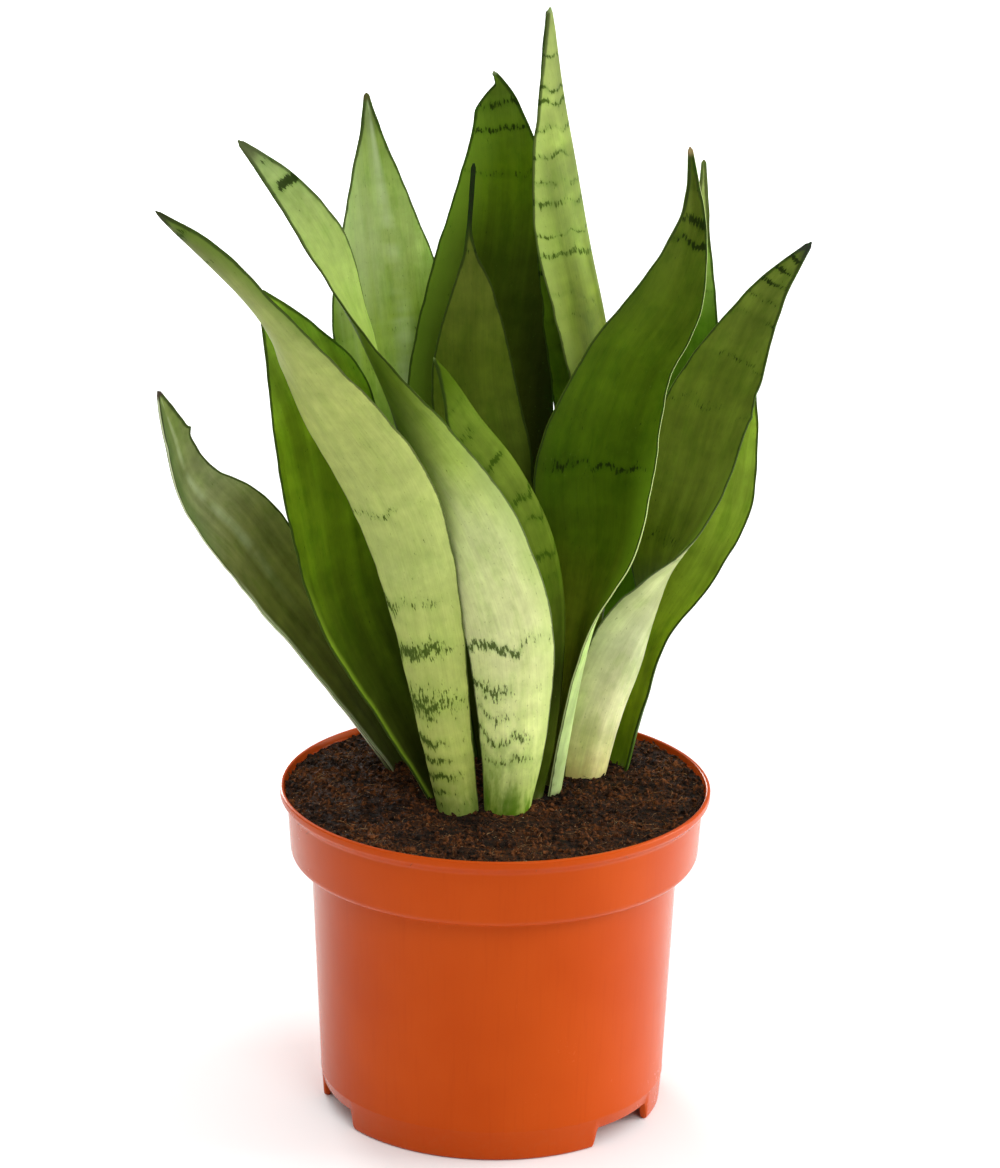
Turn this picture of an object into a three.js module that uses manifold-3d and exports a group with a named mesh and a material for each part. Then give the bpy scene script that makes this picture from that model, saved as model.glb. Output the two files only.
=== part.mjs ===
// Potted snake plant: thirteen upright blades in a 12 cm nursery pot.
// Millimetres, +Z up. The origin is on the pot's axis, at the level that its feet stand on.
// +X is to the viewer's right and -Y is towards the viewer.
import * as THREE from "three";
import { mergeVertices } from "three/addons/utils/BufferGeometryUtils.js";
import Module from "manifold-3d";

const wasm = await Module();
wasm.setup();

// ---- Driving dimensions ----

const gap = 0.35; // clearance between pieces that touch

const pot = {
  height: 93,
  rimRadius: 60, // outside of the lip
  lipHeight: 2.6,
  lipWidth: 1.8, // width of the flat ring on top
  wall: 1.2,
  collarTop: 57.9, // outside radius under the lip
  collarBottom: 56.8,
  collarHeight: 20.5, // from the rim down to the collar's lower edge
  collarRound: 2.8,
  bodyTop: 51.2, // outside radius just under the collar
  bodyBottom: 48.0,
  beadHeight: 9, // level of the fine ring above the foot
  beadProud: 0.35,
  footRadius: 47.6,
  footRound: 1.0,
  footWidth: 1.8, // thickness of the skirt at the foot
  floorUnder: 6.2, // underside of the raised floor
  floorTop: 7.6,
  sides: 60,
};

const notches = {
  angles: [-68.4, 51.7, 171.7], // degrees from the viewer's side towards +X
  width: 22.6,
  height: 5.4,
  round: 1.8,
};

const drains = { count: 6, diameter: 8, ring: 31, centreDiameter: 9 };

const soilBed = {
  edgeDrop: 2.2, // how far the soil's edge lies under the rim
  crown: 2.0, // rise of the middle over the edge
  roughness: 0.55, // height of the small lumps
  rings: 8,
  sides: 48,
};

const blade = {
  rows: 21,
  columns: 6,
  edge: 0.8, // thickness at the margins
  middle: 2.3, // thickness over the midrib, halfway up
  rootExtra: 0.8,
  tip: 0.9, // width and thickness of the very tip
};

// Each leaf is a row of stations from the root, in the soil, to the tip:
// x, y, z of the midrib, width of the blade laid flat, the direction that the inner face looks in
// (degrees: 0 to the viewer, 90 to +X, 180 away), and how far the blade is rolled into a channel (degrees).
// keel shapes the channel: 1 is round, a small value is a sharp fold along the midrib.
const leaves = [
  {
    name: "leaf_low_left",
    keel: 0.8,
    color: 0x77885a,
    stations: [
      [-22, 18, 74, 12, 62, 120],
      [-28, 17, 91, 14, 62, 115],
      [-37, 15, 107, 19, 62, 105],
      [-49, 11, 127, 25, 62, 95],
      [-63, 7, 148, 29, 62, 90],
      [-73, 0, 165, 28, 62, 85],
      [-84, -12, 182, 17, 60, 80],
      [-88, -25, 201, 10, 58, 70],
      [-90, -38, 216, 0.9, 56, 50],
    ],
  },
  {
    name: "leaf_left_inner",
    keel: 0.9,
    color: 0x3f5a20,
    stations: [
      [-9, -8, 74, 10, 50, 110],
      [-15, -8, 91, 12, 48, 100],
      [-28, -8, 120, 21, 44, 80],
      [-40, -10, 150, 30, 38, 65],
      [-45, -13, 179, 34, 34, 55],
      [-50, -17, 207, 32, 34, 55],
      [-57, -20, 225, 18, 36, 55],
      [-64, -23, 240, 0.9, 38, 40],
    ],
  },
  {
    name: "leaf_front_left",
    keel: 0.8,
    color: 0xa3b48a,
    stations: [
      [-8, -21, 74, 11, 176, 120],
      [-10, -23, 91, 13, 176, 115],
      [-14, -26, 115, 16, 172, 95],
      [-21, -31, 157, 22, 168, 75],
      [-30, -36, 187, 26, 160, 60],
      [-47, -42, 215, 24, 142, 55],
      [-61, -47, 238, 20, 118, 55],
      [-76, -51, 256, 13, 120, 50],
      [-89, -52, 268, 0.9, 118, 30],
    ],
  },
  {
    name: "leaf_front_middle",
    keel: 0.8,
    color: 0x9fb184,
    stations: [
      [5, -20, 74, 13, 190, 120],
      [4, -22, 91, 15, 188, 115],
      [5, -26, 115, 20, 184, 85],
      [3, -30, 147, 25, 178, 60],
      [-7, -31, 175, 26, 165, 50],
      [-18, -29, 195, 23, 138, 45],
      [-31, -27, 217, 22, 104, 45],
      [-39, -26, 234, 18, 84, 45],
      [-48, -27, 255, 14, 52, 50],
      [-58, -29, 270, 8.5, 45, 40],
      [-69, -31, 282, 0.9, 45, 30],
    ],
  },
  {
    name: "leaf_back_left",
    keel: 1,
    color: 0x9fae83,
    stations: [
      [-10, 19, 74, 12, 10, 100],
      [-12, 22, 91, 14, 10, 90],
      [-21, 32, 139, 25, 12, 60],
      [-26, 35, 167, 31, 14, 50],
      [-29, 38, 196, 34, 15, 45],
      [-32, 40, 221, 33, 15, 45],
      [-35, 42, 249, 18, 15, 45],
      [-37, 43, 269, 5.5, 15, 40],
      [-38, 43, 279, 0.9, 15, 20],
    ],
  },
  {
    name: "leaf_back_middle",
    keel: 1,
    color: 0x3f5a22,
    stations: [
      [3, 19, 74, 12, -5, 90],
      [2, 21, 91, 14, -5, 80],
      [-1, 26, 139, 25, -5, 55],
      [-4, 30, 167, 34, -4, 45],
      [-6, 34, 194, 40, -3, 40],
      [-3, 36, 222, 37, -3, 40],
      [0, 37, 250, 28, -3, 40],
      [-1, 37, 275, 13, -3, 40],
      [-3, 36, 287, 0.9, -3, 20],
    ],
  },
  {
    name: "leaf_slender",
    keel: 1,
    color: 0x6c7f3c,
    stations: [
      [5, 7, 74, 9, 5, 90],
      [4, 8, 91, 11, 5, 80],
      [2, 10, 132, 17, 5, 60],
      [-3, 11, 178, 25, 5, 45],
      [-7, 12, 201, 24, 5, 40],
      [-8, 12, 216, 20, 5, 40],
      [-8, 12, 232, 11, 5, 40],
      [-9, 12, 246, 1.6, 5, 30],
      [-8, 11, 267, 0.9, 5, 10],
    ],
  },
  {
    name: "leaf_tallest",
    keel: 0.35,
    color: 0x93a572,
    stations: [
      [20, 17, 74, 12, -88, 120],
      [22, 17, 91, 15, -88, 130],
      [27, 18, 127, 24, -84, 135],
      [31, 19, 160, 31, -80, 135],
      [32, 20, 192, 35, -77, 135],
      [28, 20, 219, 37, -77, 135],
      [23, 19, 243, 36, -80, 130],
      [19, 17, 265, 31, -83, 125],
      [15, 16, 287, 18, -84, 115],
      [12, 15, 309, 0.9, -84, 60],
    ],
  },
  {
    name: "leaf_right_dark",
    keel: 0.6,
    color: 0x3c521c,
    stations: [
      [15, -3, 74, 12, -62, 120],
      [17, -2, 91, 14, -60, 115],
      [20, -1, 115, 18, -56, 110],
      [24, 1, 141, 25, -52, 95],
      [27, 3, 163, 31, -26, 70],
      [26, 4, 187, 34, 4, 55],
      [33, 6, 212, 27, 16, 50],
      [44, 7, 231, 21.5, 20, 50],
      [50, 8, 249, 10.5, 22, 45],
      [51, 8, 261, 4, 22, 40],
      [50, 8, 273, 0.9, 22, 20],
    ],
  },
  {
    name: "leaf_small_folded",
    keel: 0.45,
    color: 0x98aa74,
    stations: [
      [10, -8, 74, 9, -88, 110],
      [12, -8, 91, 13, -90, 110],
      [15, -9, 109, 18, -92, 110],
      [17, -10, 130, 24, -92, 110],
      [17, -11, 151, 29, -92, 110],
      [13, -12, 171, 31, -92, 110],
      [4, -12, 189, 29, -92, 105],
      [-6, -12, 202, 26, -90, 100],
      [-12, -12, 211, 15, -88, 90],
      [-18, -12, 219, 0.9, -86, 60],
    ],
  },
  {
    name: "leaf_far_right",
    keel: 0.8,
    color: 0x74853f,
    stations: [
      [24, 6, 74, 13, -150, 120],
      [27, 7, 91, 16, -146, 120],
      [31, 10, 109, 22, -142, 115],
      [38, 15, 127, 27, -130, 105],
      [44, 20, 140, 28, -96, 90],
      [48, 25, 152, 29, -62, 80],
      [54, 31, 170, 30, -40, 70],
      [60, 39, 191, 28, -32, 60],
      [68, 47, 208, 19, -32, 55],
      [76, 53, 222, 10, -34, 45],
      [87, 61, 234, 0.9, -36, 20],
    ],
  },
  {
    name: "leaf_right_green",
    keel: 0.8,
    color: 0x5e8a1e,
    stations: [
      [32, 17, 74, 10, -70, 120],
      [37, 21, 91, 12, -68, 115],
      [40, 26, 109, 15, -62, 105],
      [45, 31, 129, 18, -52, 95],
      [57, 37, 148, 23, -42, 80],
      [64, 42, 165, 24, -36, 70],
      [67, 46, 184, 17, -36, 60],
      [69, 48, 195, 8, -36, 50],
      [70, 50, 206, 0.9, -38, 30],
    ],
  },
  {
    name: "leaf_back_right",
    keel: 1,
    color: 0x8f9f66,
    stations: [
      [14, 33, 74, 11, -20, 100],
      [16, 36, 91, 13, -20, 95],
      [23, 45, 112, 16, -20, 80],
      [34, 53, 139, 20, -18, 65],
      [46, 57, 167, 21, -16, 55],
      [52, 58, 192, 21, -15, 50],
      [53, 58, 216, 17, -15, 50],
      [55, 58, 232, 8, -15, 45],
      [56, 58, 246, 3, -15, 40],
      [56, 58, 258, 0.9, -15, 20],
    ],
  },
];

// ---- Small helpers ----

const radians = THREE.MathUtils.degToRad;

// A closed mesh from rows of points and triangles, welded so that shared corners are shared.
function weld(geometry) {
  const bare = geometry.clone();
  bare.deleteAttribute("normal");
  bare.deleteAttribute("uv");
  return mergeVertices(bare, 1e-4);
}

function toSolid(geometry) {
  const welded = weld(geometry);
  const vertProperties = new Float32Array(welded.attributes.position.array);
  const triVerts = new Uint32Array(welded.index.array);
  return new wasm.Manifold(new wasm.Mesh({ numProp: 3, vertProperties, triVerts }));
}

function toGeometry(solid) {
  const mesh = solid.getMesh();
  const geometry = new THREE.BufferGeometry();
  const position = new THREE.BufferAttribute(new Float32Array(mesh.vertProperties), 3);
  geometry.setAttribute("position", position);
  geometry.setIndex(new THREE.BufferAttribute(new Uint32Array(mesh.triVerts), 1));
  geometry.computeVertexNormals();
  return geometry;
}

// A profile of [radius, height] points turned round the Z axis.
function turned(profile, sides) {
  const points = profile.map(([radius, height]) => new THREE.Vector2(radius, height));
  return new THREE.LatheGeometry(points, sides).rotateX(Math.PI / 2);
}

// Points on a quarter circle or less, for a rounded corner of a profile.
function corner(centreRadius, centreHeight, radius, from, to, steps = 4) {
  return Array.from({ length: steps + 1 }, (_, i) => {
    const angle = radians(from + ((to - from) * i) / steps);
    return [centreRadius + radius * Math.cos(angle), centreHeight + radius * Math.sin(angle)];
  });
}

function material(color, roughness) {
  return new THREE.MeshStandardMaterial({ color, roughness, metalness: 0 });
}

// ---- Pot ----

const collarEdge = pot.height - pot.collarHeight;
const innerBodyTop = pot.bodyTop - pot.wall;
const innerBodyBottom = pot.bodyBottom - pot.wall;
const innerCollarTop = pot.collarTop - pot.wall;
const innerCollarBottom = pot.collarBottom - pot.wall;

// Outside radius of the plain body at a height.
function bodyRadius(z) {
  return THREE.MathUtils.mapLinear(z, pot.footRound, collarEdge, pot.bodyBottom, pot.bodyTop);
}

function potOutside() {
  const lipUnder = pot.height - pot.lipHeight;
  const foot = corner(pot.footRadius - pot.footRound, pot.footRound, pot.footRound, -90, 0, 2);
  const bead = [
    [bodyRadius(pot.beadHeight - 0.5), pot.beadHeight - 0.5],
    [bodyRadius(pot.beadHeight) + pot.beadProud, pot.beadHeight],
    [bodyRadius(pot.beadHeight + 0.5), pot.beadHeight + 0.5],
  ];
  const collar = [
    [bodyRadius(collarEdge), collarEdge],
    ...corner(pot.collarBottom - pot.collarRound, collarEdge + pot.collarRound, pot.collarRound, -90, 0, 3),
  ];
  const lip = [
    [pot.collarTop, lipUnder - 0.8],
    [pot.collarTop + 0.5, lipUnder],
    ...corner(pot.rimRadius - 0.7, lipUnder + 0.7, 0.7, -90, 0, 2),
    ...corner(pot.rimRadius - 0.7, pot.height - 0.7, 0.7, 0, 90, 2),
  ];
  return [...foot, ...bead, ...collar, ...lip];
}

function potInside() {
  const shoulder = collarEdge + pot.wall;
  return [
    [pot.rimRadius - pot.lipWidth, pot.height],
    [innerCollarTop, pot.height - 1.6],
    [innerCollarBottom, shoulder + pot.collarRound],
    ...corner(innerCollarBottom - 1.6, shoulder + 1.6, 1.6, 0, -90, 2),
    [innerBodyTop, shoulder],
    [innerBodyBottom, pot.floorTop + 2],
    ...corner(innerBodyBottom - 2, pot.floorTop + 2, 2, 0, -90, 2),
  ];
}

// The wall is one closed ring; the raised floor joins it inside, above the open skirt.
function potProfile() {
  const skirtInside = pot.footRadius - pot.footWidth;
  return [
    [0, pot.floorUnder],
    [skirtInside - 1, pot.floorUnder],
    [skirtInside, pot.floorUnder - 1],
    [skirtInside, 0],
    ...potOutside(),
    ...potInside(),
    [0, pot.floorTop],
  ];
}

// A rounded arch that opens the skirt from below, so that three feet are left.
function notchCutter(angle) {
  const half = notches.width / 2;
  const top = notches.height;
  const arch = new THREE.Shape();
  arch.moveTo(-half - 1, -1);
  arch.lineTo(half + 1, -1);
  arch.lineTo(half, 1);
  arch.lineTo(half, top - notches.round);
  arch.absarc(half - notches.round, top - notches.round, notches.round, 0, Math.PI / 2, false);
  arch.absarc(notches.round - half, top - notches.round, notches.round, Math.PI / 2, Math.PI, false);
  arch.lineTo(-half, 1);
  const cutter = new THREE.ExtrudeGeometry(arch, {
    depth: 14,
    bevelEnabled: false,
    curveSegments: 4,
  });
  cutter.rotateX(Math.PI / 2); // the arch stands up, and its depth runs towards -Y
  cutter.translate(0, -pot.footRadius + 9, 0);
  return cutter.rotateZ(radians(angle));
}

function drainCutter(x, y, diameter) {
  const cutter = new THREE.CylinderGeometry(diameter / 2, diameter / 2, 6, 20);
  cutter.rotateX(Math.PI / 2);
  return cutter.translate(x, y, pot.floorUnder);
}

function makePot() {
  let solid = toSolid(turned(potProfile(), pot.sides));
  for (const angle of notches.angles) solid = solid.subtract(toSolid(notchCutter(angle)));
  for (let i = 0; i < drains.count; i += 1) {
    const angle = (2 * Math.PI * (i + 0.5)) / drains.count;
    const x = drains.ring * Math.cos(angle);
    const y = drains.ring * Math.sin(angle);
    solid = solid.subtract(toSolid(drainCutter(x, y, drains.diameter)));
  }
  solid = solid.subtract(toSolid(drainCutter(0, 0, drains.centreDiameter)));
  const mesh = new THREE.Mesh(toGeometry(solid), material(0xc84814, 0.38));
  mesh.name = "pot";
  return mesh;
}

// ---- Leaves ----

// One station's values at a share of the way from root to tip, on a smooth curve through the table.
function stationAt(stations, share) {
  const last = stations.length - 1;
  const place = share * last;
  const index = Math.min(Math.floor(place), last - 1);
  const pick = (i) => stations[THREE.MathUtils.clamp(i, 0, last)];
  const rows = [index - 1, index, index + 1, index + 2].map(pick);
  const t = place - index;
  return rows[0].map((_, k) => {
    const [a, b, c, d] = rows.map((row) => row[k]);
    const bend = 2 * b + (c - a) * t + (2 * a - 5 * b + 4 * c - d) * t ** 2;
    return (bend + (3 * b - a - 3 * c + d) * t ** 3) / 2;
  });
}

// Points across the blade, from one margin to the other: offset along the width, height towards
// the inner face, and the slope of the section there.
function sectionAt(width, arc, keel) {
  const steps = 8;
  const points = [];
  for (let column = 0; column <= blade.columns; column += 1) {
    const v = (2 * column) / blade.columns - 1;
    const side = Math.sign(v);
    let across = 0;
    let rise = 0;
    for (let i = 0; i < steps; i += 1) {
      const reach = (Math.abs(v) * (i + 0.5)) / steps;
      const slope = (radians(arc) / 2) * reach ** keel;
      const step = (Math.abs(v) * width) / 2 / steps;
      across += Math.cos(slope) * step;
      rise += Math.sin(slope) * step;
    }
    const slope = side * (radians(arc) / 2) * Math.abs(v) ** keel;
    points.push({ v, across: side * across, rise, slope });
  }
  return points;
}

// Half the blade's thickness at v across it, at a share of the way to the tip.
function halfThickness(v, share, width) {
  const middle = blade.middle + blade.rootExtra * (1 - share) ** 2 - 1.0 * share ** 3;
  const full = blade.edge + (middle - blade.edge) * (1 - v * v);
  return Math.min(full, blade.tip + width * 0.12) / 2;
}

// A blade as a closed mesh: its inner face, outer face, both margins and both ends.
function bladeGeometry(leaf, grow = 0) {
  const inner = [];
  const outer = [];
  const middles = [];
  for (let row = 0; row <= blade.rows; row += 1) {
    middles.push(stationAt(leaf.stations, row / blade.rows));
  }
  const spine = middles.map(([x, y, z]) => new THREE.Vector3(x, y, z));
  spine[0].addScaledVector(spine[1].clone().sub(spine[0]).normalize(), -grow);
  middles.forEach(([, , , flatWidth, turn, arc], row) => {
    const before = spine[Math.max(row - 1, 0)];
    const after = spine[Math.min(row + 1, blade.rows)];
    const along = after.clone().sub(before).normalize();
    const look = new THREE.Vector3(Math.sin(radians(turn)), -Math.cos(radians(turn)), 0);
    const across = along.clone().cross(look).normalize();
    const facing = across.clone().cross(along);
    const width = Math.max(flatWidth, blade.tip) + 2 * grow;
    for (const { v, across: offset, rise, slope } of sectionAt(width, arc, leaf.keel)) {
      const half = halfThickness(v, row / blade.rows, width) + grow;
      const point = spine[row].clone().addScaledVector(across, offset).addScaledVector(facing, rise);
      const normal = facing.clone().multiplyScalar(Math.cos(slope));
      normal.addScaledVector(across, -Math.sin(slope));
      inner.push(point.clone().addScaledVector(normal, half));
      outer.push(point.clone().addScaledVector(normal, -half));
    }
  });
  return closedBlade(inner, outer);
}

function closedBlade(inner, outer) {
  const stride = blade.columns + 1;
  const points = [...inner, ...outer];
  const other = inner.length;
  const triangles = [];
  const quad = (a, b, c, d) => triangles.push(a, b, c, a, c, d);
  for (let row = 0; row < blade.rows; row += 1) {
    for (let column = 0; column < blade.columns; column += 1) {
      const a = row * stride + column;
      const b = a + 1;
      const c = b + stride;
      const d = a + stride;
      triangles.push(a, b, c, a, c, d);
      triangles.push(other + a, other + c, other + b, other + a, other + d, other + c);
    }
    const left = row * stride;
    const right = left + blade.columns;
    quad(left, left + stride, other + left + stride, other + left);
    quad(right, other + right, other + right + stride, right + stride);
  }
  for (let column = 0; column < blade.columns; column += 1) {
    const top = blade.rows * stride + column;
    quad(column, other + column, other + column + 1, column + 1);
    quad(top, top + 1, other + top + 1, other + top);
  }
  const geometry = new THREE.BufferGeometry();
  const position = new Float32Array(points.flatMap((point) => point.toArray()));
  geometry.setAttribute("position", new THREE.BufferAttribute(position, 3));
  geometry.setIndex(triangles);
  geometry.computeVertexNormals();
  return geometry;
}

function makeLeaf(leaf) {
  const mesh = new THREE.Mesh(bladeGeometry(leaf), material(leaf.color, 0.45));
  mesh.name = leaf.name;
  return mesh;
}

// ---- Soil ----

const soilEdge = pot.height - soilBed.edgeDrop;

// Small lumps over the soil, from a few crossing waves; none at the pot's wall.
function soilLump(x, y) {
  const waves = Math.sin(x * 0.31 + 1.3) * Math.cos(y * 0.27) + Math.sin(x * 0.73 - y * 0.61);
  return (soilBed.roughness * (waves + Math.cos(x * 0.17 + y * 1.07))) / 3;
}

function soilProfile() {
  const shoulder = collarEdge + pot.wall + gap;
  const inside = (z) => {
    const wall = THREE.MathUtils.mapLinear(
      z, pot.floorTop + 2, collarEdge + pot.wall, innerBodyBottom, innerBodyTop,
    );
    return wall - gap;
  };
  const edge = THREE.MathUtils.mapLinear(
    soilEdge, shoulder + pot.collarRound, pot.height - 1.6, innerCollarBottom, innerCollarTop,
  ) - gap;
  const top = [];
  for (let ring = 0; ring <= soilBed.rings; ring += 1) {
    const radius = edge * (1 - ring / soilBed.rings);
    top.push([radius, soilEdge + soilBed.crown * (1 - (radius / edge) ** 2)]);
  }
  return [
    [0, pot.floorTop + gap],
    [innerBodyBottom - 2.4, pot.floorTop + gap],
    [inside(pot.floorTop + 2.6), pot.floorTop + 2.6],
    [inside(shoulder - 0.2), shoulder],
    [innerCollarBottom - 2.2, shoulder],
    [innerCollarBottom - gap, shoulder + 2.2],
    ...top,
  ];
}

function makeSoil() {
  const bed = weld(turned(soilProfile(), soilBed.sides));
  const place = bed.attributes.position;
  for (let i = 0; i < place.count; i += 1) {
    const [x, y, z] = [place.getX(i), place.getY(i), place.getZ(i)];
    if (z > soilEdge + 0.1) place.setZ(i, z + soilLump(x, y));
  }
  let solid = toSolid(bed);
  for (const leaf of leaves) solid = solid.subtract(toSolid(bladeGeometry(leaf, gap)));
  const mesh = new THREE.Mesh(toGeometry(solid), material(0x3a281c, 0.95));
  mesh.name = "soil";
  return mesh;
}

// ---- Assembly ----

const group = new THREE.Group();
group.name = "potted_snake_plant";
group.add(makePot(), makeSoil());
for (const leaf of leaves) group.add(makeLeaf(leaf));

export default group;
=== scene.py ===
# A potted snake plant: thirteen waxy blades with dark crossbands, in a glossy terracotta-orange pot of peat.
# Metres, +Z up. +X is to the viewer's right and -Y is towards the viewer.
import math

import bmesh
import bpy
import numpy as np
from mathutils import Matrix, Vector


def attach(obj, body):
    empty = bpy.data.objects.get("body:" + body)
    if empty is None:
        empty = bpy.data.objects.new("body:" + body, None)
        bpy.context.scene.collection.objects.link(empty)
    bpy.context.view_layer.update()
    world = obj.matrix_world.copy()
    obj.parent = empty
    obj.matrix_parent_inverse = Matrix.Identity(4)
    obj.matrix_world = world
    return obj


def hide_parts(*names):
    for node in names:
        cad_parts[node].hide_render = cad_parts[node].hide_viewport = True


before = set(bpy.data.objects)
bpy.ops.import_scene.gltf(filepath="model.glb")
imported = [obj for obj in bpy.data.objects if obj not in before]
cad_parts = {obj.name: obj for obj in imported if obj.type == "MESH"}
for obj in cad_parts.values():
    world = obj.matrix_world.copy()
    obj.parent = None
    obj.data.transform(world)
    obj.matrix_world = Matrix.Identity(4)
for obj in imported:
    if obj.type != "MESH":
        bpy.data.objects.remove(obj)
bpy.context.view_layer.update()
scene = bpy.context.scene
mm = 0.001


# The camera: a long lens that looks down at the pot from the front
cameraLook = {
    "place": (0.0006, -1.220, 0.5531),
    "down": 18.22,  # degrees below level
    "roll": 0.77,
    "lens": 144.1,
}


def makeCamera():
    data = bpy.data.cameras.new("photo_camera")
    data.lens = cameraLook["lens"]
    camera = bpy.data.objects.new("photo_camera", data)
    scene.collection.objects.link(camera)
    tilt = Matrix.Rotation(math.radians(90 - cameraLook["down"]), 4, "X")
    roll = Matrix.Rotation(math.radians(cameraLook["roll"]), 4, "Z")
    camera.matrix_world = Matrix.Translation(cameraLook["place"]) @ tilt @ roll
    scene.camera = camera


makeCamera()
print("camera placed")


# Helpers for node trees, of materials and of geometry alike

def paint(name):
    parts = [int(name[i:i + 2], 16) / 255 for i in (0, 2, 4)]
    linear = [c / 12.92 if c <= 0.04045 else ((c + 0.055) / 1.055) ** 2.4 for c in parts]
    return (*linear, 1.0)


def plug(socket, value):
    if isinstance(value, bpy.types.NodeSocket):
        socket.id_data.links.new(value, socket)
    else:
        socket.default_value = value


def put(tree, kind, inputs, **settings):
    node = tree.nodes.new(kind)
    for name, value in settings.items():
        setattr(node, name, value)
    for key, value in inputs.items():
        plug(node.inputs[key], value)
    return node


# Puts a node in the tree of the sockets that feed it, and returns one of its outputs
def feed(kind, inputs, output=0, **settings):
    tree = next(value.id_data for value in inputs.values() if isinstance(value, bpy.types.NodeSocket))
    return put(tree, kind, inputs, **settings).outputs[output]


def sums(operation, *values):
    return feed("ShaderNodeMath", dict(enumerate(values)), operation=operation)


def times(first, *others):
    for other in others:
        first = sums("MULTIPLY", first, other)
    return first


def plus(first, second):
    return sums("ADD", first, second)


def minus(first, second):
    return sums("SUBTRACT", first, second)


def timesPlus(first, second, third):
    return sums("MULTIPLY_ADD", first, second, third)


def fit(value, low, high, start=0.0, end=1.0, kind="SMOOTHSTEP"):
    inputs = {0: value, 1: low, 2: high, 3: start, 4: end}
    return feed("ShaderNodeMapRange", inputs, interpolation_type=kind)


def noise(vector, scale, detail=2.0, roughness=0.5):
    inputs = {"Vector": vector, "Scale": scale, "Detail": detail, "Roughness": roughness}
    return feed("ShaderNodeTexNoise", inputs)


def mixed(amount, first, second, mode="MIX"):
    inputs = {0: amount, 6: first, 7: second}
    return feed("ShaderNodeMix", inputs, 2, data_type="RGBA", blend_type=mode)


def ramp(factor, stops):
    output = feed("ShaderNodeValToRGB", {0: factor})
    elements = output.node.color_ramp.elements
    elements.remove(elements[1])
    elements[0].position, elements[0].color = stops[0]
    for place, shade in stops[1:]:
        elements.new(place).color = shade
    return output


def split(vector):
    return feed("ShaderNodeSeparateXYZ", {0: vector}).node.outputs


def joined(x=0.0, y=0.0, z=0.0):
    return feed("ShaderNodeCombineXYZ", {0: x, 1: y, 2: z})


def scaled(vector, scale, shift=(0.0, 0.0, 0.0)):
    return feed("ShaderNodeMapping", {"Vector": vector, "Location": shift, "Scale": scale})


def newMaterial(name, constants):
    material = bpy.data.materials.new(name)
    material.use_nodes = True
    tree = material.node_tree
    shader = tree.nodes["Principled BSDF"]
    for socket, value in constants.items():
        shader.inputs[socket].default_value = value
    return material, tree, shader


def dress(shader, tone, rough, height, strength, distance):
    plug(shader.inputs["Base Color"], tone)
    plug(shader.inputs["Roughness"], rough)
    inputs = {"Strength": strength, "Distance": distance, "Height": height}
    plug(shader.inputs["Normal"], feed("ShaderNodeBump", inputs))


# Helpers for meshes

def newObject(name, data):
    piece = bpy.data.objects.new(name, data)
    scene.collection.objects.link(piece)
    return piece


def faceOut(mesh):
    work = bmesh.new()
    work.from_mesh(mesh)
    bmesh.ops.recalc_face_normals(work, faces=work.faces)
    work.to_mesh(mesh)
    work.free()


def fasten(piece, slotName, *replaced):
    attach(piece, "root")
    if replaced:
        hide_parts(*replaced)


bladeForm = {
    "rows": 170,
    "columns": 24,
    "crowd": 0.85,  # below 1, it brings the columns closer near the margins
    "arcParts": 16,  # parts in the sum that rolls the blade
    "rimSteps": 3,
    "rimPast": 0.4,  # how far past the margin the rim's points count as, mm
    "edge": 0.55,  # thickness at the margins, mm
    "middle": 2.3,
    "rootExtra": 0.8,
    "tip": 0.35,
    "leastWidth": 0.9,
    "point": 0.012,  # the share of the blade that is drawn to a point
    "wave": 0.16,  # how far the margins stray from a clean curve, mm
    "waveLength": 19,
    "ruffle": 0.3,  # how far they lift and dip
    "ruffleLength": 27,
}

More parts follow.
